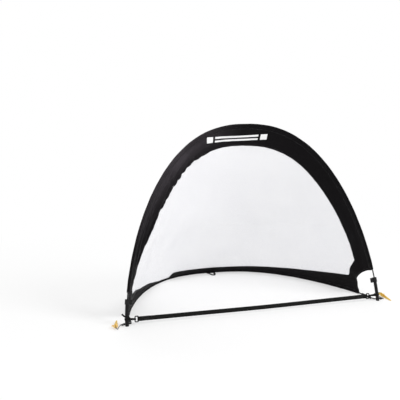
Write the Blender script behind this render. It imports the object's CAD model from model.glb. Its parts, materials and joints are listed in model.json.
"""Looks of the pop up goal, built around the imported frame.

The fabric is one skin stretched from the arch wire to the ground wire, as in the frame. It is
worked out again here on the same two curves, then cut into a tunnel, a band, corner panels and a net.
Lengths are metres. k runs round the goal from the right-hand foot (0) to the left (1).
"""

import json
import math

import bmesh
import bpy
import numpy as np
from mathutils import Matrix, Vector, noise


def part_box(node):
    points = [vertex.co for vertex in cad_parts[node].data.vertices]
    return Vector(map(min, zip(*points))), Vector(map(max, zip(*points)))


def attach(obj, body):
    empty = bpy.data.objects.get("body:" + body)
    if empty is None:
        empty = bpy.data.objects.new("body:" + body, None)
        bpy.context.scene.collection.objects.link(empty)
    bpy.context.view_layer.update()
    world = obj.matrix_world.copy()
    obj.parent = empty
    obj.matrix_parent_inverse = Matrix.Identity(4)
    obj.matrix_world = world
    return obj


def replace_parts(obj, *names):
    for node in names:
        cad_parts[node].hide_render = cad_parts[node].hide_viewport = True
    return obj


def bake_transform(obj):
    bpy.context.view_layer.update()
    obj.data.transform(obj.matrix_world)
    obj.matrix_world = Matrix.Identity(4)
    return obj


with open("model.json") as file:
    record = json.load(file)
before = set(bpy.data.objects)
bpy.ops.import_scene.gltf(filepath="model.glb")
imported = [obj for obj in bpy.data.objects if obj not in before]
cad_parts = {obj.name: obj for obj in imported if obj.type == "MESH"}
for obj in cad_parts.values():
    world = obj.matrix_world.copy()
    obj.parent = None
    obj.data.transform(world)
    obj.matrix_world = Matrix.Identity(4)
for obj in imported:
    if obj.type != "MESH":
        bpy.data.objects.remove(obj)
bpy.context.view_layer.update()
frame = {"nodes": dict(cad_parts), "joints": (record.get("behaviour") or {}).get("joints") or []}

MM = 0.001
ARCH_BODY, GROUND_BODY = "front_arch", "ground_frame"

# Radii of the frame's round parts
FOOT_R = 8 * MM
SLEEVE_R = 8 * MM
REAR_SLEEVE_R = 6 * MM
REAR_TUBE_R = 5.4 * MM
RING_R = (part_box("left_strap_ring")[1].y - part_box("left_strap_ring")[0].y) / 2

# Worked out from the frame
JOINTS = {joint["name"]: joint for joint in frame["joints"]}
PIVOT = np.array(JOINTS["arch_fold"]["pos_m"])
LEAN = math.atan2(PIVOT[1], PIVOT[2])
HALF_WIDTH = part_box("right_foot")[1].x - FOOT_R
ARCH_REACH = (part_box("front_sleeve")[1].z - SLEEVE_R) / math.cos(LEAN)
REAR_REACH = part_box("rear_sleeve")[1].y - REAR_SLEEVE_R
REAR_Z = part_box("rear_sleeve")[0].z + REAR_SLEEVE_R
REAR_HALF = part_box("right_rear_tube")[1].x - REAR_TUBE_R

# Fabric layout
CUT_AT_WIRE = 0.062
CUT_OUTLINE = (  # edge of the right-hand cut-out: shares of the way between the wires, then k there
    (0, 0.40, 0.50, 0.62, 0.68, 0.79, 0.90, 1),
    (0.0655, 0.0875, 0.0905, 0.0925, 0.084, 0.078, 0.0675, 0.063))
NET_END = 0.1225
FRONT_BAND = 108 * MM
FRONT_BAND_FLARE = 45 * MM
REAR_BAND = 48 * MM
REAR_BAND_FLARE = 92 * MM
TUNNEL_R = 5.4 * MM  # outside of the fabric folded round either wire
SEAM_AT = 25 * MM  # stitch line of the arch tunnel, from the wire
REAR_SEAM_AT = 14 * MM
STITCHED = 0.75 * MM  # half the tunnel's thickness at that line
CLOTH = 0.7 * MM  # half the thickness of the doubled fabric
HEM = CLOTH + 0.4 * MM  # the same where the bands' edges are folded over
TAPE = CLOTH + 0.7 * MM  # the same under the tape that binds a cut-out

# Webbing
STRAP_THICK = 1.5 * MM
BELT_AT = 29 * MM  # height of the knotted webbing, up the corner tube
BELT_WIDTH = 9 * MM
BELT_THICK = 1.3 * MM
REAR_LOOP_WIDTH = 12 * MM
REAR_LOOP_THICK = 1.6 * MM
STRAP_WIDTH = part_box("base_strap")[1].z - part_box("base_strap")[0].z
BARS = {side: np.array(JOINTS[f"{side}_ring_swing"]["pos_m"]) for side in ("left", "right")}
OUTWARD = {"left": -1.0, "right": 1.0}


# ---- curves and skin


def distances(path):
    """How far along a path each of its points lies."""
    return np.concatenate([[0], np.cumsum(np.linalg.norm(np.diff(path, axis=0), axis=1))])


class LoopCurve:
    """Half superellipse, measured along its length from the right-hand foot (0) to the left (1)."""

    def __init__(self, half_width, reach, fullness):
        angle = np.linspace(0, math.pi, 4001)
        cosine, sine = np.cos(angle), np.abs(np.sin(angle))
        self.across = np.sign(cosine) * np.abs(cosine) ** (2 / fullness[0]) * half_width
        self.out = sine ** (2 / fullness[1]) * reach
        travelled = distances(np.stack([self.across, self.out], 1))
        self.length = travelled[-1]
        self.fraction = travelled / self.length

    def at(self, k):
        return np.interp(k, self.fraction, self.across), np.interp(k, self.fraction, self.out)


ARCH_FULLNESS = (2.36, 1.66)  # superellipse exponents across and up
REAR_FULLNESS = (2.49, 1.28)
ARCH = LoopCurve(HALF_WIDTH, ARCH_REACH, ARCH_FULLNESS)
REAR = LoopCurve(HALF_WIDTH, REAR_REACH, REAR_FULLNESS)


def arch_points(k):
    x, reach = ARCH.at(k)
    return np.stack([x, reach * math.sin(LEAN), reach * math.cos(LEAN)], -1)


def rear_points(k):
    """The ground wire's centre line, held in at the feet by the corner tubes."""
    x, y = REAR.at(k)
    ease = 6 * MM
    inside = np.abs(x) - ease * np.log1p(np.exp((np.abs(x) - REAR_HALF) / ease))
    return np.stack([np.sign(x) * inside, y, np.full_like(y, REAR_Z)], -1)


def unit(vectors):
    return vectors / np.maximum(np.linalg.norm(vectors, axis=-1, keepdims=True), 1e-12)


def smooth_step(t):
    t = np.clip(t, 0, 1)
    return t * t * (3 - 2 * t)


def bell(x, centre, width):
    return np.exp(-(((x - centre) / width) ** 2))


def relaxed_skin(rows=49, columns=17, passes=900, cross_tension=0.25):
    """Grid from arch wire to ground wire, each point pulled to the mean of its neighbours."""
    ks = np.linspace(CUT_AT_WIRE, 1 - CUT_AT_WIRE, rows)
    front, rear = arch_points(ks), rear_points(ks)
    down = np.linspace(0, 1, columns)[None, :, None]
    skin = front[:, None, :] * (1 - down) + rear[:, None, :] * down
    pull_down = (((columns - 1) / np.linalg.norm(front - rear, axis=1)) ** 2)[1:-1, None, None]
    pull_round = cross_tension / (ARCH.length * (ks[1] - ks[0])) ** 2
    for _ in range(passes):
        lengthwise = skin[1:-1, 2:] + skin[1:-1, :-2]
        crosswise = skin[2:, 1:-1] + skin[:-2, 1:-1]
        total = 2 * (pull_down + pull_round)
        skin[1:-1, 1:-1] = (pull_down * lengthwise + pull_round * crosswise) / total
    return skin


def evenly_spaced(row):
    travelled = distances(row)
    places = np.linspace(0, travelled[-1], len(row))
    return np.stack([np.interp(places, travelled, row[:, axis]) for axis in range(3)], 1), travelled[-1]


SPACED = [evenly_spaced(row) for row in relaxed_skin()]
SKIN = np.array([row for row, _ in SPACED])
SKIN_DEPTH = np.array([depth for _, depth in SPACED])


def cubic_weights(t):
    return [(-t + 2 * t**2 - t**3) / 2, (2 - 5 * t**2 + 3 * t**3) / 2,
            (t + 4 * t**2 - 3 * t**3) / 2, (t**3 - t**2) / 2]


def skin_depth(k):
    return np.interp(k, np.linspace(CUT_AT_WIRE, 1 - CUT_AT_WIRE, len(SKIN)), SKIN_DEPTH)


def skin_points(k, s):
    """Smooth surface through the skin's grid, s from the arch wire (0) to the ground wire (1)."""
    rows, columns = SKIN.shape[:2]
    row = np.clip((k - CUT_AT_WIRE) / (1 - 2 * CUT_AT_WIRE), 0, 1) * (rows - 1)
    column = s * (columns - 1)
    i = np.clip(np.floor(row).astype(int), 0, rows - 2)
    j = np.clip(np.floor(column).astype(int), 0, columns - 2)
    total = 0
    for a, weight_a in enumerate(cubic_weights(row - i)):
        for b, weight_b in enumerate(cubic_weights(column - j)):
            near = SKIN[np.clip(i + a - 1, 0, rows - 1), np.clip(j + b - 1, 0, columns - 1)]
            total = total + near * (weight_a * weight_b)[..., None]
    return total


CORNER_DEPTH = skin_depth(CUT_AT_WIRE)


def front_band_width(k):
    return FRONT_BAND + FRONT_BAND_FLARE * (2 * k - 1) ** 2


def rear_band_width(k):
    tucked = smooth_step((k - 0.612) / 0.022) * (1 - smooth_step((k - 0.64) / 0.11))
    rolled_under = 44 * MM * tucked + 22 * MM * bell(k, 0.76, 0.07)
    width = REAR_BAND + REAR_BAND_FLARE * (2 * k - 1) ** 2 - rolled_under
    return np.maximum(width, REAR_SEAM_AT + 4 * MM)


def net_end(s):
    """Where the corner panel gives way to the net and the bands, from wire to wire."""
    return NET_END - 0.006 * smooth_step((s - 0.52) / 0.16)


def between_corners(u, s):
    """Places k between the two corner panels, with u from 0 at the right to 1 at the left."""
    end = net_end(s)
    return end + (1 - 2 * end) * u


def corner_cut(s, side):
    """Where the corner's cut-out ends; the left one is drawn nearly shut by its fabric."""
    cut = np.interp(s, *CUT_OUTLINE)
    return cut if side == "right" else CUT_AT_WIRE + 0.2 * (cut - CUT_AT_WIRE)


def tangle(points, scale, depth=2):
    """Smooth noise from -1 to 1 at each point."""
    flat = (np.asarray(points) * scale).reshape(-1, points.shape[-1])
    values = [noise.fractal(Vector(p), 1.0, 2.1, depth) for p in flat]
    return np.array(values).reshape(points.shape[:-1])


def inward(k):
    """Direction in the plane of the arch, square to the wire, towards the middle of the mouth."""
    step = 0.002
    along = unit(arch_points(np.clip(k + step, 0, 1)) - arch_points(np.clip(k - step, 0, 1)))
    plane_normal = np.array([0, -math.cos(LEAN), math.sin(LEAN)])
    return unit(np.cross(along, plane_normal)) * -1.0


def slack(k, s):
    """How far the loose band bows into the mouth: most on the left, where the net gathers its edge."""
    most, gone_at = 25 * MM, 0.85
    edge = front_band_width(k) / skin_depth(k)
    rise = np.clip(s / edge, 0, 1) ** 1.3
    fall = 1 - smooth_step((s - edge) / np.maximum(gone_at - edge, 0.05))
    bow = most * bell(k, 0.75, 0.10) * np.where(s < edge, rise, fall)
    into_band, into_net = 34 * MM, 22 * MM
    beyond = (s - edge) * skin_depth(k)
    near_edge = bell(beyond, 0, np.where(s < edge, into_band, into_net))
    return bow + gathers(k) * near_edge


def gathers(k):
    """Scallops of the band's inner edge, sharp between the gathers and strongest on the left."""
    pitch, height = 47 * MM, 4.6 * MM
    travelled = k * ARCH.length
    wander = travelled + 12 * MM * np.sin(travelled * 17.0) + 5 * MM * np.sin(travelled * 41.0)
    scallop = np.abs(np.sin(wander * math.pi / pitch)) - 0.6
    strength = bell(k, 0.665, 0.085) + 0.12
    return height * scallop * strength


def creases(k, x):
    """Folds of the band, standing square to the cloth: long ones on the left, faint ones elsewhere."""
    travelled = k * ARCH.length
    width = front_band_width(k)
    across = np.clip(x / width, 0, 1.6)
    lengthwise = np.stack([travelled * 5.5 + x * 3.0, x * 42.0 - travelled * 6.0, 0 * x], -1)
    ridge = 1 - np.abs(tangle(lengthwise, 1.0))
    long_folds = (ridge**4 - 0.35) * 8.5 * MM * (bell(k, 0.755, 0.14) + 0.10)
    fan = np.stack([travelled * 34.0 + x * 16.0, x * 7.0, 0 * x + 3.7], -1)
    pulls = tangle(fan, 1.0) * 3.2 * MM * (bell(k, 0.68, 0.12) + 0.18)
    broad = tangle(np.stack([travelled * 4.0, x * 9.0, 0 * x + 9.1], -1), 1.0) * 4 * MM
    inner = smooth_step((across - 0.12) / 0.4) * (1 - smooth_step((across - 1.0) / 0.35))
    return inner * (long_folds + pulls * across + broad)


def rear_creases(k, x):
    """Folds of the band along the ground wire, x from that wire."""
    travelled = k * REAR.length
    along = np.stack([travelled * 8.0 + x * 4.0, x * 55.0, 0 * x + 5.3], -1)
    inner = smooth_step(x / (20 * MM)) * (1 - smooth_step((x / rear_band_width(k) - 1.0) / 0.5))
    return tangle(along, 1.0) * 4 * MM * inner * (0.45 + bell(k, 0.78, 0.09))


def net_sway(k, s):
    """Slight waves of the net between its tight edges."""
    waves = np.stack([k * 9.0, s * 3.0, 0 * s + 1.9], -1)
    return tangle(waves, 1.0) * 9 * MM * np.sin(math.pi * np.clip(s, 0, 1)) ** 2


def hung_cloth(rows=520, columns=150):
    """The whole skin as it hangs on the real goal, as one fine grid."""
    k, s = np.meshgrid(np.linspace(CUT_AT_WIRE, 1 - CUT_AT_WIRE, rows), np.linspace(0, 1, columns),
                       indexing="ij")
    base = skin_points(k, s) + inward(k) * slack(k, s)[..., None]
    x = s * skin_depth(k)
    lift = creases(k, x) + rear_creases(k, skin_depth(k) - x) + net_sway(k, s)
    return base + grid_normals(base) * lift[..., None]


def skin_at(k, s):
    """Point of the hung cloth, s from the arch wire (0) to the ground wire (1)."""
    k, s = np.broadcast_arrays(np.asarray(k, float), np.asarray(s, float))
    rows, columns = CLOTH_GRID.shape[:2]
    row = np.clip((k - CUT_AT_WIRE) / (1 - 2 * CUT_AT_WIRE), 0, 1) * (rows - 1)
    column = np.clip(s, 0, 1) * (columns - 1)
    i = np.clip(np.floor(row).astype(int), 0, rows - 2)
    j = np.clip(np.floor(column).astype(int), 0, columns - 2)
    a, b = (row - i)[..., None], (column - j)[..., None]
    near = CLOTH_GRID[i, j] * (1 - b) + CLOTH_GRID[i, j + 1] * b
    return near * (1 - a) + (CLOTH_GRID[i + 1, j] * (1 - b) + CLOTH_GRID[i + 1, j + 1] * b) * a


def grid_normals(grid):
    """Outward normals of a grid of points, from its neighbours."""
    along = np.gradient(grid, axis=0)
    across = np.gradient(grid, axis=1)
    return unit(np.cross(across, along))


CLOTH_GRID = hung_cloth()


# ---- mesh building


def add_piece(name, vertices, faces, uvs=None, material=None):
    """New mesh object. uvs holds one pair per vertex."""
    mesh = bpy.data.meshes.new(name)
    mesh.from_pydata([tuple(v) for v in vertices], [], faces)
    mesh.validate()
    face_outwards(mesh)
    mesh.shade_smooth()
    if uvs is not None:
        layer = mesh.uv_layers.new(name="cloth")
        corner = np.zeros(len(mesh.loops), np.int32)
        mesh.loops.foreach_get("vertex_index", corner)
        layer.data.foreach_set("uv", np.asarray(uvs, np.float32)[corner].ravel())
    if material is not None:
        mesh.materials.append(material)
    piece = bpy.data.objects.new(name, mesh)
    bpy.context.scene.collection.objects.link(piece)
    return piece


def face_outwards(mesh):
    """Turns every face of a closed mesh outwards."""
    shape = bmesh.new()
    shape.from_mesh(mesh)
    bmesh.ops.recalc_face_normals(shape, faces=shape.faces)
    shape.to_mesh(mesh)
    shape.free()


def quad_faces(rows, columns, wrap_rows=False, wrap_columns=False, start=0):
    faces = []
    for i in range(rows if wrap_rows else rows - 1):
        for j in range(columns if wrap_columns else columns - 1):
            ahead, beside = (i + 1) % rows, (j + 1) % columns
            faces.append((start + i * columns + j, start + ahead * columns + j,
                          start + ahead * columns + beside, start + i * columns + beside))
    return faces


def loft_piece(name, rings, material, closed=False, uvs=None):
    """Skin over rings of points (n, m, 3), capped at both ends unless the rings close on themselves."""
    n, m = rings.shape[:2]
    faces = quad_faces(n, m, wrap_rows=closed, wrap_columns=True)
    if not closed:
        faces.append(tuple(range(m)))
        faces.append(tuple(reversed(range((n - 1) * m, n * m))))
    if uvs is None:
        uvs = ring_uvs(rings)
    return add_piece(name, rings.reshape(-1, 3), faces, uvs.reshape(-1, 2), material)


def ring_uvs(rings):
    """Distance along the piece and round its section, in metres."""
    n, m = rings.shape[:2]
    along = distances(rings.mean(1))
    steps = np.linalg.norm(np.roll(rings, -1, axis=1) - rings, axis=2)
    around = np.concatenate([np.zeros((n, 1)), np.cumsum(steps, axis=1)[:, :-1]], axis=1)
    return np.stack([np.broadcast_to(along[:, None], (n, m)), around], -1)


def sheet_piece(name, grid, half, uv, material):
    """Closed thin sheet about a grid (n, m, 3) with a rounded rim. half is half its thickness."""
    n, m = grid.shape[:2]
    half = np.broadcast_to(half, (n, m))
    normals = grid_normals(grid)
    upper = grid + normals * half[..., None]
    lower = grid - normals * half[..., None]
    rim = rim_order(n, m)
    inner = [(min(max(i, 1), n - 2), min(max(j, 1), m - 2)) for i, j in rim]
    at_rim = np.array([grid[i, j] for i, j in rim])
    within = np.array([grid[i, j] for i, j in inner])
    rim_half = np.array([half[i, j] for i, j in rim])
    edge = at_rim + unit(at_rim - within) * rim_half[:, None]
    count = n * m
    faces = [face[::-1] for face in quad_faces(n, m)]
    faces += quad_faces(n, m, start=count)
    ids = [i * m + j for i, j in rim]
    for a in range(len(rim)):
        b = (a + 1) % len(rim)
        faces.append((ids[a], ids[b], 2 * count + b, 2 * count + a))
        faces.append((2 * count + a, 2 * count + b, count + ids[b], count + ids[a]))
    flat_uv = uv.reshape(-1, 2)
    uvs = np.concatenate([flat_uv, flat_uv, flat_uv[ids]])
    vertices = np.concatenate([upper.reshape(-1, 3), lower.reshape(-1, 3), edge])
    return add_piece(name, vertices, faces, uvs, material)


def rim_order(n, m):
    """Grid places round the edge of an n by m grid, in order."""
    first = [(0, j) for j in range(m - 1)] + [(i, m - 1) for i in range(n - 1)]
    return first + [(n - 1, j) for j in range(m - 1, 0, -1)] + [(i, 0) for i in range(n - 1, 0, -1)]


def frames_along(path, up):
    """Directions along a path, across it, and square to both, near to up."""
    along = unit(np.gradient(path, axis=0))
    up = np.broadcast_to(up, path.shape)
    across = unit(np.cross(along, up))
    return along, across, np.cross(across, along)


def flat_section(width, thick, corners=4):
    """Section of a strap: a thin rectangle with rounded edges, one row per place along it."""
    width = np.atleast_1d(width)[:, None]
    angle = np.linspace(-math.pi / 2, math.pi / 2, corners * 2 + 1)
    half = width / 2 - thick / 2
    right = np.stack([half + np.cos(angle) * thick / 2, 0 * half + np.sin(angle) * thick / 2], -1)
    share = np.linspace(1, -1, 9)[1:-1]
    top = np.stack([half * share, 0 * half * share + thick / 2], -1)
    return np.concatenate([right, top, -right, -top], axis=1)


def strap_piece(name, path, up, width, thick, material=None, closed=False):
    """Webbing along a path. up is the direction square to the webbing's face."""
    up = np.broadcast_to(np.asarray(up, float), path.shape)
    if closed:
        parts = frames_along(np.concatenate([path[-2:], path, path[:2]]),
                             np.concatenate([up[-2:], up, up[:2]]))
        _, across, normal = (part[2:-2] for part in parts)
    else:
        _, across, normal = frames_along(path, up)
    section = flat_section(width, thick)
    rings = path[:, None] + across[:, None] * section[..., :1] + normal[:, None] * section[..., 1:]
    return loft_piece(name, rings, material or STRAP_WEAVE, closed=closed)


def resampled(path, count):
    """The path's points again, evenly spaced, through a smooth curve."""
    travelled = distances(path)
    places = np.linspace(0, travelled[-1], count)
    i = np.clip(np.searchsorted(travelled, places, side="right") - 1, 0, len(path) - 2)
    t = (places - travelled[i]) / (travelled[i + 1] - travelled[i])
    last = len(path) - 1
    around = [path[np.clip(i + step, 0, last)] for step in (-1, 0, 1, 2)]
    return sum(point * weight[:, None] for point, weight in zip(around, cubic_weights(t)))


def stitches_piece(name, path, normals, pitch=6 * MM, length=4.2 * MM, thick=0.5 * MM):
    """Row of separate stitches along a path, on both faces of a cloth whose normals are given.

    path holds the two faces' points, one array for each.
    """
    sides = 5
    angle = np.arange(sides) * 2 * math.pi / sides
    profile = ((-0.5, 0.3), (-0.3, 1.0), (0.3, 1.0), (0.5, 0.3))
    vertices, faces = [], []
    for face_path, direction in zip(path, (1, -1)):
        travelled = distances(face_path)
        for centre in np.arange(pitch, travelled[-1] - pitch, pitch):
            place = sample(face_path, travelled, centre)
            normal = unit(sample(normals, travelled, centre)) * direction
            before = sample(face_path, travelled, centre - pitch / 2)
            ahead = unit(sample(face_path, travelled, centre + pitch / 2) - before)
            side = np.cross(normal, ahead)
            ring = np.cos(angle)[:, None] * side + np.sin(angle)[:, None] * normal * 0.7
            start = len(vertices)
            for offset, swell in profile:
                sunk = normal * thick * 0.7 * (1 - swell)
                vertices += list(place + ahead * offset * length - sunk + ring * thick * swell)
            faces += quad_faces(len(profile), sides, wrap_columns=True, start=start)
            faces.append(tuple(start + i for i in range(sides)))
            last = start + (len(profile) - 1) * sides
            faces.append(tuple(last + i for i in reversed(range(sides))))
    return add_piece(name, vertices, faces, None, THREAD)


def sample(values, travelled, place):
    return np.array([np.interp(place, travelled, values[:, axis]) for axis in range(3)])


def hang(piece):
    """Spreads a fabric piece like a fan between the ground loop and the arch as the arch folds."""
    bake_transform(piece)
    place = np.zeros(len(piece.data.vertices) * 3)
    piece.data.vertices.foreach_get("co", place)
    place = place.reshape(-1, 3) - PIVOT
    return piece


# ---- material nodes


class Nodes:
    """Small helper that adds nodes and links to one material."""

    def __init__(self, name):
        self.material = bpy.data.materials.new(name)
        self.material.use_nodes = True
        self.tree = self.material.node_tree
        self.shader = self.tree.nodes["Principled BSDF"]

    def add(self, kind, **settings):
        node = self.tree.nodes.new(kind)
        for key, value in settings.items():
            if key in node.inputs:
                self.feed(node.inputs[key], value)
            else:
                setattr(node, key, value)
        return node

    def feed(self, socket, value):
        if isinstance(value, bpy.types.NodeSocket):
            self.tree.links.new(value, socket)
        else:
            socket.default_value = value

    def set(self, **values):
        for key, value in values.items():
            self.feed(self.shader.inputs[key.replace("_", " ")], value)

    def math(self, operation, a, b=0.0, clamp=False):
        node = self.add("ShaderNodeMath", operation=operation, use_clamp=clamp)
        self.feed(node.inputs[0], a)
        self.feed(node.inputs[1], b)
        return node.outputs[0]

    def cloth_uv(self):
        """Metres along and across the cloth, as two sockets."""
        split = self.add("ShaderNodeSeparateXYZ", Vector=self.add("ShaderNodeUVMap").outputs[0])
        return split.outputs[0], split.outputs[1]

    def place(self):
        return self.add("ShaderNodeTexCoord").outputs["Object"]

    def noise(self, vector, scale, detail=3.0, roughness=0.55):
        node = self.add("ShaderNodeTexNoise", Scale=scale, Detail=detail, Roughness=roughness)
        self.feed(node.inputs["Vector"], vector)
        return node.outputs["Fac"]

    def wave(self, distance, pitch, phase=0.0):
        """From 0 to 1 and back once per pitch."""
        turn = self.math("ADD", self.math("MULTIPLY", distance, 2 * math.pi / pitch), phase)
        return self.math("ADD", self.math("MULTIPLY", self.math("SINE", turn), 0.5), 0.5)

    def spread(self, value, low, high, new_low, new_high):
        node = self.add("ShaderNodeMapRange", clamp=True)
        for socket, number in zip(node.inputs[:5], (value, low, high, new_low, new_high)):
            self.feed(socket, number)
        return node.outputs[0]

    def mix(self, share, first, second):
        node = self.add("ShaderNodeMix", data_type="RGBA")
        self.feed(node.inputs["Factor"], share)
        self.feed(node.inputs[6], (*first, 1) if isinstance(first, tuple) else first)
        self.feed(node.inputs[7], (*second, 1) if isinstance(second, tuple) else second)
        return node.outputs[2]

    def bump(self, height, strength, distance):
        node = self.add("ShaderNodeBump", Strength=strength, Distance=distance)
        self.feed(node.inputs["Height"], height)
        self.feed(self.shader.inputs["Normal"], node.outputs[0])


def woven_fabric(name, dark, light):
    """Plain-woven polyester: threads over and under, broad tone changes and dust."""
    nodes = Nodes(name)
    u, v = nodes.cloth_uv()
    pitch = 1.1 * MM  # of the threads
    warp = nodes.wave(u, pitch)
    weft = nodes.wave(v, pitch)
    over = nodes.wave(nodes.math("ADD", u, v), pitch)
    weave = nodes.math("MULTIPLY", nodes.math("ADD", nodes.math("MULTIPLY", warp, weft), over), 0.5)
    broad = nodes.noise(nodes.place(), 9.0, 4.0)
    dust = nodes.spread(nodes.noise(nodes.place(), 190.0, 2.0), 0.62, 0.80, 0.0, 0.12)
    tone = nodes.math("ADD", nodes.math("MULTIPLY", weave, 0.35), nodes.math("MULTIPLY", broad, 0.65))
    colour = nodes.mix(dust, nodes.mix(tone, dark, light), tuple(3.0 * c for c in light))
    nodes.set(Base_Color=nodes.mix(left_shoulder(nodes, v), colour, tuple(6.0 * c for c in light)))
    nodes.set(Roughness=nodes.spread(broad, 0.3, 0.7, 0.62, 0.78), Sheen_Weight=0.02, Sheen_Roughness=0.4)
    nodes.set(Specular_IOR_Level=0.07)
    nodes.bump(weave, 0.5, 0.12 * MM)
    return nodes.material


def left_shoulder(nodes, v):
    """Share of fading at the left shoulder of the arch, strongest beside the wire."""
    split = nodes.add("ShaderNodeSeparateXYZ", Vector=nodes.place())
    across = nodes.spread(split.outputs[0], -0.02, -0.30, 0.0, 1.0)
    height = nodes.spread(split.outputs[2], 0.30, 0.66, 0.0, 1.0)
    beside_wire = nodes.spread(v, 0.045, 0.095, 1.0, 0.2)
    patchy = nodes.spread(nodes.noise(nodes.place(), 7.0, 3.0), 0.3, 0.7, 0.6, 1.0)
    return nodes.math("MULTIPLY", nodes.math("MULTIPLY", across, height),
                      nodes.math("MULTIPLY", beside_wire, patchy))


def net_mesh(name):
    """Knitted mesh: staggered holes between near-white yarns."""
    nodes = Nodes(name)
    u, v = nodes.cloth_uv()
    pitch = 3.6 * MM
    first = nodes.wave(nodes.math("ADD", u, nodes.math("MULTIPLY", v, 0.58)), pitch)
    second = nodes.wave(nodes.math("SUBTRACT", u, nodes.math("MULTIPLY", v, 0.58)), pitch)
    third = nodes.wave(v, pitch * 0.86, phase=0.7)
    hole = nodes.math("MULTIPLY", nodes.math("MULTIPLY", first, second), nodes.math("ADD", third, 0.45))
    yarn = nodes.spread(hole, 0.22, 0.42, 1.0, 0.0)
    fuzz = nodes.noise(nodes.place(), 900.0, 2.0)
    broad = nodes.noise(nodes.place(), 6.0, 3.0)
    nodes.set(Base_Color=nodes.mix(broad, (0.80, 0.80, 0.84), (0.92, 0.92, 0.94)))
    nodes.set(Alpha=nodes.math("ADD", nodes.math("MULTIPLY", yarn, 0.46), 0.10))
    nodes.set(Roughness=nodes.spread(fuzz, 0.3, 0.7, 0.62, 0.80), Sheen_Weight=0.25)
    nodes.bump(nodes.math("ADD", yarn, nodes.math("MULTIPLY", fuzz, 0.3)), 0.4, 0.3 * MM)
    return nodes.material


def webbing(name, dark, light):
    """Ribbed strap: ribs across, a tight pair of cords along each edge."""
    nodes = Nodes(name)
    u, v = nodes.cloth_uv()
    ribs = nodes.wave(u, 1.5 * MM)
    cords = nodes.wave(v, 2.2 * MM)
    weave = nodes.math("ADD", nodes.math("MULTIPLY", ribs, 0.6), nodes.math("MULTIPLY", cords, 0.4))
    worn = nodes.noise(nodes.place(), 35.0, 5.0)
    tone = nodes.math("ADD", nodes.math("MULTIPLY", weave, 0.55), nodes.math("MULTIPLY", worn, 0.45))
    nodes.set(Base_Color=nodes.mix(tone, dark, light), Sheen_Weight=0.03, Specular_IOR_Level=0.14)
    nodes.set(Roughness=nodes.spread(worn, 0.3, 0.7, 0.62, 0.82))
    nodes.bump(weave, 0.7, 0.25 * MM)
    return nodes.material


def coated_wire(name):
    """Black coated spring steel with fine scratches along the wire."""
    nodes = Nodes(name)
    place = nodes.place()
    grain = nodes.noise(place, 420.0, 3.0)
    scratch = nodes.spread(nodes.noise(place, 70.0, 6.0, 0.75), 0.60, 0.68, 0.0, 1.0)
    nodes.set(Base_Color=nodes.mix(scratch, (0.012, 0.012, 0.013), (0.05, 0.05, 0.052)))
    nodes.set(Roughness=nodes.spread(grain, 0.3, 0.7, 0.28, 0.42), Metallic=0.35)
    nodes.bump(grain, 0.25, 0.05 * MM)
    return nodes.material


def tube_plastic(name):
    """Extruded corner tube: faint lines along it, scuffed pale patches."""
    nodes = Nodes(name)
    place = nodes.place()
    stretch = nodes.add("ShaderNodeMapping", Scale=(1.0, 1.0, 0.06))
    nodes.feed(stretch.inputs["Vector"], place)
    lines = nodes.noise(stretch.outputs[0], 700.0, 2.0)
    scuff = nodes.spread(nodes.noise(place, 60.0, 6.0, 0.7), 0.56, 0.72, 0.0, 1.0)
    nodes.set(Base_Color=nodes.mix(scuff, (0.004, 0.004, 0.0045), (0.018, 0.018, 0.019)))
    nodes.set(Roughness=nodes.spread(lines, 0.3, 0.7, 0.42, 0.60), Specular_IOR_Level=0.2)
    nodes.bump(lines, 0.3, 0.08 * MM)
    return nodes.material


def moulded_plastic(name, low, high, roughness, shine):
    """Injection-moulded plastic: orange-peel grain, flow streaks and rubbed places."""
    nodes = Nodes(name)
    place = nodes.place()
    grain = nodes.noise(place, 1100.0, 2.0)
    flow = nodes.noise(place, 55.0, 5.0, 0.65)
    nodes.set(Base_Color=nodes.mix(nodes.spread(flow, 0.35, 0.68, 0.0, 1.0), low, high))
    nodes.set(Roughness=nodes.spread(flow, 0.3, 0.7, roughness, roughness + 0.18))
    nodes.set(Specular_IOR_Level=shine)
    nodes.bump(nodes.math("ADD", grain, nodes.math("MULTIPLY", flow, 0.5)), 0.3, 0.08 * MM)
    return nodes.material


def braided_cord(name):
    """Elastic cord: diagonal braid worked out from its place, with a slight sheen."""
    nodes = Nodes(name)
    split = nodes.add("ShaderNodeSeparateXYZ", Vector=nodes.place())
    x, y, z = split.outputs
    pitch = 1.3 * MM
    rising = nodes.wave(nodes.math("ADD", nodes.math("ADD", x, y), z), pitch)
    falling = nodes.wave(nodes.math("SUBTRACT", nodes.math("ADD", x, y), z), pitch)
    braid = nodes.math("MAXIMUM", rising, falling)
    nodes.set(Base_Color=nodes.mix(braid, (0.008, 0.008, 0.009), (0.035, 0.035, 0.038)))
    nodes.set(Roughness=0.6, Sheen_Weight=0.3)
    nodes.bump(braid, 0.6, 0.15 * MM)
    return nodes.material


def printed_ink(name):
    """Matt white print that shows the weave under it."""
    nodes = Nodes(name)
    u, v = nodes.cloth_uv()
    weave = nodes.math("MULTIPLY", nodes.wave(u, 1.1 * MM), nodes.wave(v, 1.1 * MM))
    worn = nodes.noise(nodes.place(), 120.0, 5.0)
    nodes.set(Base_Color=nodes.mix(worn, (0.80, 0.80, 0.80), (0.93, 0.93, 0.93)))
    nodes.set(Roughness=nodes.spread(weave, 0.0, 1.0, 0.5, 0.7))
    nodes.bump(weave, 0.4, 0.08 * MM)
    return nodes.material


def sewing_thread(name):
    nodes = Nodes(name)
    twist = nodes.noise(nodes.place(), 2400.0, 1.0)
    nodes.set(Base_Color=nodes.mix(twist, (0.008, 0.008, 0.009), (0.026, 0.026, 0.028)))
    nodes.set(Roughness=nodes.spread(twist, 0.3, 0.7, 0.4, 0.6), Sheen_Weight=0.3)
    return nodes.material


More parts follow.
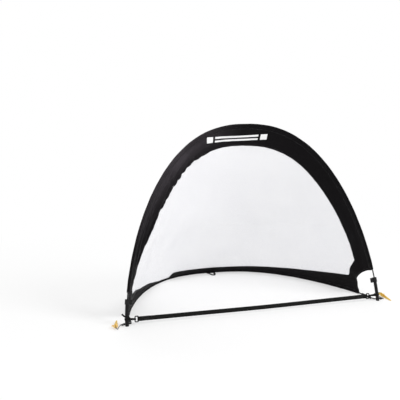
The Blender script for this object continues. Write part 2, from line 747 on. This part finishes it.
BLACK_CLOTH = woven_fabric("black_cloth", (0.0021, 0.0018, 0.0021), (0.0074, 0.0064, 0.0074))
NET_CLOTH = net_mesh("net_cloth")
STRAP_WEAVE = webbing("strap_weave", (0.0015, 0.0016, 0.0014), (0.007, 0.0072, 0.0065))
WIRE_COAT = coated_wire("wire_coat")
TUBE_SKIN = tube_plastic("tube_skin")
BLACK_MOULDED = moulded_plastic("black_moulded", (0.004, 0.004, 0.0045), (0.012, 0.012, 0.013), 0.4, 0.22)
PEG_MOULDED = moulded_plastic("peg_moulded", (0.78, 0.42, 0.05), (0.88, 0.68, 0.14), 0.30, 0.4)
CORD_BRAID = braided_cord("cord_braid")
PRINT_INK = printed_ink("print_ink")
THREAD = sewing_thread("thread")


# ---- fabric


def front_surface(k, x):
    return skin_at(k, x / skin_depth(k))


def rear_surface(k, x):
    return skin_at(k, 1 - x / skin_depth(k))


def tunnel(name, replaced, wire, surface, seam, share_at):
    """Fabric folded round a wire and sewn to itself: a drop-shaped tube, hollow round the wire.

    wire(k) is the wire's centre line, surface(k, x) the cloth at distance x from it and share_at(x)
    the same distance as a share of the skin's depth at the corners.
    """
    flange = 3 * MM
    x_flat = np.linspace(0.6 * TUNNEL_R, seam, 8)
    x_flat = np.concatenate([x_flat, [seam + 0.4 * flange, seam + flange]])
    u = np.linspace(0, 1, 380)[:, None]
    first, last = corner_cut(share_at(x_flat), "right"), 1 - corner_cut(share_at(x_flat), "left")
    k_grid = first + (last - first) * u
    ks = k_grid[:, 0]
    middle = surface(k_grid, np.broadcast_to(x_flat, k_grid.shape))
    normals = grid_normals(middle)
    centre = wire(ks)
    ahead = unit(np.gradient(centre, axis=0))
    towards = middle[:, 2] - centre
    towards = unit(towards - ahead * (towards * ahead).sum(-1, keepdims=True))
    square = unit(np.cross(ahead, towards))
    square *= np.sign((square * normals[:, 2]).sum(-1, keepdims=True))
    loose = 1 + 0.12 * tangle(centre, 24.0)[:, None]
    slope = (x_flat - x_flat[0]) / (seam - x_flat[0])
    half = (TUNNEL_R * (1 - np.clip(slope, 0, 1)) ** 1.2 + 0.85 * MM) * loose
    half[:, -3] = STITCHED  # drawn in by the stitches, at the seam
    upper = middle + normals * half[..., None]
    lower = middle - normals * half[..., None]
    angle = np.linspace(math.radians(58), math.radians(302), 17)
    swell = TUNNEL_R * loose
    round_wire = (centre[:, None] + towards[:, None] * (np.cos(angle) * swell)[..., None]
                  + square[:, None] * (np.sin(angle) * swell)[..., None])
    outside = np.concatenate([upper[:, ::-1], round_wire, lower], axis=1)
    reach = outside - centre[:, None]
    size = np.linalg.norm(reach, axis=-1, keepdims=True)
    wall = 0.8 * MM
    inside = centre[:, None] + reach / size * (size - wall)
    sewn_shut = surface(ks, np.full_like(ks, seam - wall))[:, None]
    inside = np.where(size < seam - wall, inside, sewn_shut)
    piece = loft_piece(name, np.concatenate([outside, inside[::-1]]), BLACK_CLOTH, closed=True)
    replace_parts(piece, replaced)
    return hang(piece)


def panel(name, k, s, half, material, replaced):
    """Cloth piece over a grid of places, cut from the hung cloth."""
    uv = np.stack([k * ARCH.length, s * skin_depth(k)], -1)
    piece = sheet_piece(name, skin_at(k, s), half, uv, material)
    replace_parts(piece, replaced)
    return hang(piece)


def band_columns(start, width):
    """Distances across a band, close together at its hem, and half its thickness there."""
    hem = np.minimum(9 * MM, 0.5 * (width - start))[:, None]
    body = start + (width[:, None] - hem - start) * np.linspace(0, 1, 18)
    edge = width[:, None] - hem * np.array([0.95, 0.7, 0.35, 0])
    half = np.concatenate([np.full(18, CLOTH), np.full(4, HEM)])
    return np.concatenate([body, edge], axis=1), half


def arch_band():
    u = np.linspace(0, 1, 420)
    ks = between_corners(u, 0.0)
    x, half = band_columns(12 * MM, front_band_width(ks))
    s = x / skin_depth(ks)[:, None]
    panel("arch_band", between_corners(u[:, None], s), s, half, BLACK_CLOTH, "front_band")


def ground_band():
    u = np.linspace(0, 1, 420)
    ks = between_corners(u, 1.0)
    x, half = band_columns(9 * MM, rear_band_width(ks))
    s = 1 - x / skin_depth(ks)[:, None]
    panel("ground_band", between_corners(u[:, None], s), s, half, BLACK_CLOTH, "rear_band")


def net_panel():
    tucked = 5 * MM  # sewn under both bands
    u = np.linspace(0, 1, 300)
    front, rear = between_corners(u, 0.0), between_corners(u, 1.0)
    first = (front_band_width(front) - tucked) / skin_depth(front)
    last = 1 - (rear_band_width(rear) - tucked) / skin_depth(rear)
    s = first[:, None] + (last - first)[:, None] * np.linspace(0, 1, 70)
    panel("net_panel", between_corners(u[:, None], s), s, 0.3 * MM, NET_CLOTH, "net")


def corner_panel(side):
    """Black corner with its cut-out bound by a folded tape."""
    s = np.repeat(np.linspace(0.05, 0.95, 90)[None], 22, 0)
    cut = corner_cut(s[0], side)
    net_edge = net_end(s[:1]) + 0.003
    tape = 0.0045
    share = np.linspace(0, 1, 18)[1:, None]
    near = cut[None] + tape * np.array([0, 0.35, 0.7, 1.0, 1.08])[:, None]
    far = near[-1:] + (net_edge - near[-1:]) * share
    k = np.concatenate([near, far])
    half = np.concatenate([np.full(4, TAPE), np.full(18, CLOTH)])[:, None]
    if side == "left":
        k, s, half = 1 - k[::-1], s[::-1], half[::-1]
    panel(f"{side}_corner_panel", k, s, half, BLACK_CLOTH, f"{side}_corner_gusset")


def sewn_line(name, k, s, half):
    """Stitches along a line of places on the hung cloth, on both its faces."""
    step = 0.004
    here = skin_at(k, s)
    beside = skin_at(k, np.clip(s + step, 0, 1)) - here
    normals = unit(np.cross(beside, np.gradient(here, axis=0)))
    faces = (here + normals * half, here - normals * half)
    hang(stitches_piece(name, faces, normals))


def sewing():
    margin = 0.003
    seam = SEAM_AT / CORNER_DEPTH
    first, last = corner_cut(seam, "right"), 1 - corner_cut(seam, "left")
    whole = np.linspace(first + margin, last - margin, 700)
    between = np.linspace(NET_END + margin, 1 - NET_END - margin, 600)
    sewn_line("arch_seam_stitches", whole, SEAM_AT / skin_depth(whole), STITCHED)
    sewn_line("ground_seam_stitches", whole, 1 - REAR_SEAM_AT / skin_depth(whole), STITCHED)
    from_edge = 6.5 * MM
    arch_hem = (front_band_width(between) - from_edge) / skin_depth(between)
    ground_hem = 1 - (rear_band_width(between) - from_edge) / skin_depth(between)
    sewn_line("arch_hem_stitches", between, arch_hem, HEM)
    sewn_line("ground_hem_stitches", between, ground_hem, HEM)
    s = np.linspace(0.09, 0.91, 160)
    in_tape = 0.0032
    sewn_line("right_corner_stitches", corner_cut(s, "right") + in_tape, s, TAPE)
    sewn_line("left_corner_stitches", 1 - corner_cut(s, "left") - in_tape, s, TAPE)


# ---- print


def print_bar(name, k_low, k_high, x_low, x_high):
    """One plain white bar printed on the mouth side of the arch band, straight across the crown."""
    rows, columns = 60, 9
    tilt = 0.045  # the print runs down a little to the left
    ks = np.linspace(k_low, k_high, rows)
    crown = arch_points(np.array([0.5]))[0]
    across, _, up = (arch_points(ks) - crown).T
    x = np.linspace(x_low, x_high, columns)[None, :] + up[:, None] - tilt * across[:, None]
    k = np.repeat(ks[:, None], columns, 1)
    ink = 0.2 * MM
    grid = front_surface(k, x)
    grid = grid - grid_normals(grid) * (CLOTH + 0.75 * ink)
    uv = np.stack([k * ARCH.length, x], -1)
    piece = sheet_piece(name, grid, ink, uv, PRINT_INK)
    hang(piece)


def crown_print():
    """Plain bars and stripes: a generic stand-in, no letters and no mark."""
    top, stripe, gap = 54 * MM, 9 * MM, 8 * MM
    low = top + 2 * stripe + gap
    first, last = 0.472, 0.566
    block, space = 0.014, 0.005
    print_bar("print_block_left", last + space, last + space + block, top, low)
    print_bar("print_stripe_upper", first, last, top, top + stripe)
    print_bar("print_stripe_lower", first, last, low - stripe, low)
    print_bar("print_block_right", first - space - block, first - space, top, low)


# ---- straps


def wrapped_end(side):
    """Path of the strap's end, from its sewn-back tail round the ring's bar and on to the front."""
    inwards = -OUTWARD[side]
    turn = RING_R + 0.2 * MM + STRAP_THICK / 2
    touching = STRAP_THICK / 2 + 0.05 * MM
    back = [(48, touching), (38, touching), (28, touching), (18, 1.15 * touching), (9, 0.72 * turn)]
    back = [(x * MM, y) for x, y in back]
    angle = np.radians(np.linspace(70, -70, 9))
    around = [(-turn * math.cos(a), turn * math.sin(a)) for a in angle]
    front = [(x, -y) for x, y in reversed(back[1:])]
    return np.array([BARS[side] + [inwards * x, y, 0] for x, y in back + around + front])


def base_strap():
    left, right = wrapped_end("left"), wrapped_end("right")[::-1]
    start, stop = left[-1], right[0]
    share = np.linspace(0, 1, 40)[1:-1, None]
    run = start + (stop - start) * share
    slack_in_strap = np.sin(math.pi * share[:, 0])
    run[:, 2] -= 2.5 * MM * slack_in_strap
    run[:, 1] += 1.5 * MM * np.sin(share[:, 0] * 9.0) * slack_in_strap
    path = resampled(np.concatenate([left, run, right]), 520)
    from_bar = np.minimum(np.abs(path[:, 0] - BARS["left"][0]), np.abs(path[:, 0] - BARS["right"][0]))
    drawn_in = 1.8 * MM * (1 - smooth_step(from_bar / (14 * MM)))
    edge_wear = 0.25 * MM * tangle(path, 55.0)
    piece = strap_piece("strap", path, strap_facing(path), STRAP_WIDTH - drawn_in + edge_wear, STRAP_THICK)
    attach(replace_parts(piece, "base_strap"), ARCH_BODY)
    for side in ("left", "right"):
        strap_stitches(side)


def strap_facing(path):
    """Direction square to the webbing's face along a path that stays level: it turns with the path."""
    ahead = unit(np.gradient(path, axis=0))
    return unit(np.cross(ahead, [0, 0, 1.0]))


def strap_stitches(side):
    """Box of stitches where the strap's end is sewn back on itself."""
    inwards = -OUTWARD[side]
    near, far, half = 14 * MM, 42 * MM, 6.5 * MM
    box = [(near, half), (far, half), (far, -half), (near, -half), (near, half), (far, -half)]
    corners = np.array([BARS[side] + [inwards * x, 0, z] for x, z in box])
    share = np.linspace(0, 1, 12)[:, None]
    path = np.concatenate([a + (b - a) * share for a, b in zip(corners, corners[1:])])
    normals = np.tile([0, -1.0, 0], (len(path), 1))
    offset = STRAP_THICK + 0.15 * MM
    faces = (path + normals * offset, path - normals * offset)
    piece = stitches_piece(f"{side}_strap_stitches", faces, normals, pitch=3.4 * MM, length=2.6 * MM)
    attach(piece, ARCH_BODY)


def foot_centre(side, up_tube):
    """Centre of the corner tube at a distance up it."""
    fall = (up_tube / ARCH_REACH) ** ARCH_FULLNESS[1]
    x = HALF_WIDTH * (1 - fall) ** (1 / ARCH_FULLNESS[0])
    return np.array([OUTWARD[side] * x, up_tube * math.sin(LEAN), up_tube * math.cos(LEAN)])


def belt_path(side):
    """Closed path round the corner tube and the ring's outer bar, and its outward directions."""
    centre = foot_centre(side, BELT_AT)
    low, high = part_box(f"{side}_strap_ring")
    bar = BARS[side] + [OUTWARD[side] * (high.x - low.x - 2 * RING_R), 0, 0]
    span = abs(centre[0] - bar[0])
    tube_r, bar_r = FOOT_R + 1.5 * MM, RING_R + 1.1 * MM
    lean = math.asin((tube_r - bar_r) / span)
    wide = math.pi / 2 + lean
    tube_angle = np.linspace(-wide, wide, 33)
    bar_angle = np.linspace(wide, 2 * math.pi - wide, 13)
    around = [(tube_r * math.cos(a), tube_r * math.sin(a), a) for a in tube_angle]
    near = [(-span + bar_r * math.cos(a), bar_r * math.sin(a), a) for a in bar_angle]
    flat = np.array(around + straight_run(around[-1], near[0]) + near + straight_run(near[-1], around[0]))
    # the run behind bows out where it passes the ground wire, so that it clears it when folded
    over_wire = bell(-flat[:, 0], HALF_WIDTH - REAR_HALF, 9 * MM)
    flat[:, 1] += 1.8 * MM * over_wire * (flat[:, 1] > 0)
    outward = np.array([OUTWARD[side], 0, 0])
    behind = np.array([0, math.cos(LEAN), -math.sin(LEAN)])
    share = np.clip(-flat[:, 0] / span, 0, 1)[:, None]
    path = centre + flat[:, :1] * outward + flat[:, 1:2] * behind
    path += share * (bar - (centre - span * outward))
    facing = np.cos(flat[:, 2:]) * outward + np.sin(flat[:, 2:]) * behind
    return path, facing


def straight_run(first, last, count=9):
    """Points on the straight run from one arc to the next, without its ends."""
    return [tuple(a + (b - a) * t for a, b in zip(first, last)) for t in np.linspace(0, 1, count)[1:-1]]


def strap_loop(side):
    path, facing = belt_path(side)
    piece = strap_piece(f"{side}_loop", path, facing, BELT_WIDTH, BELT_THICK, closed=True)
    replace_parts(piece, f"{side}_strap_loop")
    follow_ring(piece)
    knot(side)


def follow_ring(piece):
    """Bends a piece between the foot, which stays, and the ring, which swings."""
    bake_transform(piece)


def knot(side):
    """Turn of webbing round the loop's two runs beside the tube, and on the left its free end."""
    centre = foot_centre(side, BELT_AT)
    outward = np.array([OUTWARD[side], 0, 0])
    up = np.array([0, math.sin(LEAN), math.cos(LEAN)])
    behind = np.array([0, math.cos(LEAN), -math.sin(LEAN)])
    angle = np.linspace(0, 2 * math.pi, 29)[:-1, None]
    beside, across, tall, width = 10.8 * MM, 7.2 * MM, 6.6 * MM, 4.6 * MM
    middle = centre - outward * beside
    tilt = 0.2 * MM * np.sin(angle)
    path = middle + behind * np.cos(angle) * across + up * np.sin(angle) * tall + outward * tilt
    facing = behind * np.cos(angle) * tall + up * np.sin(angle) * across
    piece = strap_piece(f"{side}_knot", path, unit(facing), width, BELT_THICK, closed=True)
    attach(piece, ARCH_BODY)
    if side == "left":
        free_end(centre, outward, up, behind)


def free_end(centre, outward, up, behind):
    """Free end of the knotted webbing, standing up past the tube."""
    # millimetres outwards, up and behind
    steps = ((-12, 5, -9.5), (-4, 6.5, -11.5), (5, 9.5, -11.5), (12, 14, -9), (17, 19, -6.5), (21, 23, -5))
    path = np.array([centre + (outward * a + up * b + behind * c) * MM for a, b, c in steps])
    width = 7 * MM
    piece = strap_piece("left_free_end", resampled(path, 26), -behind, width, BELT_THICK)
    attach(piece, ARCH_BODY)


def rear_loop():
    """Webbing loop for a peg under the back of the ground loop: it narrows to a folded tip."""
    low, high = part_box("rear_peg_loop")
    middle, back, level = (low.x + high.x) / 2, high.y, (low.z + high.z) / 2
    length = high.y - low.y
    turn = 6 * MM
    angle = np.linspace(0.15, math.pi - 0.15, 9)
    tip = [(turn * math.cos(a), -length + turn * (1.4 - math.sin(a))) for a in angle]
    half = (high.x - low.x) / 2 - 5 * MM
    legs = [(half, -1 * MM), (half * 0.94, -12 * MM), (half * 0.80, -26 * MM)]
    flat = legs + tip + [(-x, y) for x, y in reversed(legs)]
    stand = [3 * MM * math.sin(math.pi * y / (length + turn)) ** 2 for _, y in flat]
    path = resampled(np.array([(middle + x, back + y, level + z) for (x, y), z in zip(flat, stand)]), 90)
    piece = strap_piece("rear_loop_webbing", path, (0, 0, 1), REAR_LOOP_WIDTH, REAR_LOOP_THICK)
    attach(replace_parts(piece, "rear_peg_loop"), "rear_loop")
    hem_width, hem_thick, beyond = 2.6 * MM, 2 * MM, 3 * MM
    hem_x = np.linspace(-half - beyond, half + beyond, 24)
    hem = np.array([(middle + x, back - 1.4 * MM, level) for x in hem_x])
    piece = strap_piece("rear_loop_hem", hem, (0, 0, 1), hem_width, hem_thick)
    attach(piece, "rear_loop")


def show_frame_parts():
    """Materials for the CAD nodes that are shown as they are."""
    shown = {"front_wire": WIRE_COAT, "rear_wire": WIRE_COAT}
    for side in ("left", "right"):
        shown[f"{side}_foot"] = shown[f"{side}_rear_tube"] = TUBE_SKIN
        for moulding in ("tube_clip", "wire_cap", "strap_ring"):
            shown[f"{side}_{moulding}"] = BLACK_MOULDED
        shown[f"{side}_peg_cord"] = CORD_BRAID
        shown[f"{side}_peg"] = PEG_MOULDED
    for node, material in shown.items():
        mesh = frame["nodes"][node].data
        mesh.materials.clear()
        mesh.materials.append(material)


# ---- studio


def studio():
    bpy.ops.mesh.primitive_plane_add(size=80)
    floor = bpy.context.object
    floor.name = "floor"
    floor.data.materials.append(floor_paint())
    world = bpy.data.worlds.new("studio")
    world.use_nodes = True
    nodes = world.node_tree.nodes
    seen, lit = nodes["Background"], nodes.new("ShaderNodeBackground")
    seen.inputs[1].default_value = 1.0
    seen.inputs[0].default_value = lit.inputs[0].default_value = (1, 1, 1, 1)
    lit.inputs[1].default_value = 0.62
    choose = nodes.new("ShaderNodeMixShader")
    links = world.node_tree.links
    links.new(nodes.new("ShaderNodeLightPath").outputs["Is Camera Ray"], choose.inputs[0])
    links.new(lit.outputs[0], choose.inputs[1])
    links.new(seen.outputs[0], choose.inputs[2])
    links.new(choose.outputs[0], nodes["World Output"].inputs[0])
    bpy.context.scene.world = world
    soft_box("key", (2.6, -2.6, 3.0), 2.2, 120)
    soft_box("fill", (-3.0, -1.6, 2.4), 2.6, 25)
    soft_box("back", (0.4, 3.2, 3.0), 2.6, 40)


def floor_paint():
    """Pale floor that fades to plain white away from the object, so it shows no horizon."""
    nodes = Nodes("floor_paint")
    tone = nodes.noise(nodes.place(), 0.6, 2.0)
    nodes.set(Base_Color=nodes.mix(tone, (0.93, 0.93, 0.93), (0.95, 0.95, 0.95)), Roughness=0.9)
    nodes.set(Specular_IOR_Level=0.1)
    distance = nodes.add("ShaderNodeVectorMath", operation="LENGTH")
    nodes.feed(distance.inputs[0], nodes.place())
    fade = nodes.spread(distance.outputs["Value"], 0.9, 2.6, 0.5, 1.0)
    white = nodes.add("ShaderNodeEmission", Strength=1.0)
    mixed = nodes.add("ShaderNodeMixShader")
    for socket, value in zip(mixed.inputs, (fade, nodes.shader.outputs[0], white.outputs[0])):
        nodes.feed(socket, value)
    nodes.tree.links.new(mixed.outputs[0], nodes.tree.nodes["Material Output"].inputs[0])
    return nodes.material


def soft_box(name, place, size, power):
    light = bpy.data.lights.new(name, "AREA")
    light.shape, light.size, light.energy = "DISK", size, power
    lamp = bpy.data.objects.new(name, light)
    lamp.location = place
    lamp.rotation_euler = (Vector((0, 0.2, 0.3)) - Vector(place)).to_track_quat("-Z", "Y").to_euler()
    bpy.context.scene.collection.objects.link(lamp)


def camera():
    """The photographed goal stands right of the middle of the frame, seen from the left of its mouth."""
    azimuth, elevation, distance = math.radians(-19.4), math.radians(9.48), 3.0
    aim = Vector((0, 0.15, 0.35))
    back = Vector((math.sin(azimuth) * math.cos(elevation), -math.cos(azimuth) * math.cos(elevation),
                   math.sin(elevation)))
    lens = bpy.data.cameras.new("camera")
    lens.lens, lens.sensor_width = 58.2, 36.0
    lens.shift_x, lens.shift_y = -0.1244, 0.0769
    viewer = bpy.data.objects.new("camera", lens)
    viewer.location = aim + back * distance
    viewer.rotation_euler = back.to_track_quat("Z", "Y").to_euler()
    bpy.context.scene.collection.objects.link(viewer)
    bpy.context.scene.camera = viewer
    bpy.context.scene.view_settings.view_transform = "Standard"


tunnel("arch_tunnel", "front_sleeve", arch_points, front_surface, SEAM_AT, lambda x: x / CORNER_DEPTH)
tunnel("ground_tunnel", "rear_sleeve", rear_points, rear_surface, REAR_SEAM_AT,
       lambda x: 1 - x / CORNER_DEPTH)
arch_band()
ground_band()
net_panel()
corner_panel("left")
corner_panel("right")
sewing()
crown_print()
base_strap()
strap_loop("left")
strap_loop("right")
rear_loop()
show_frame_parts()
studio()
camera()
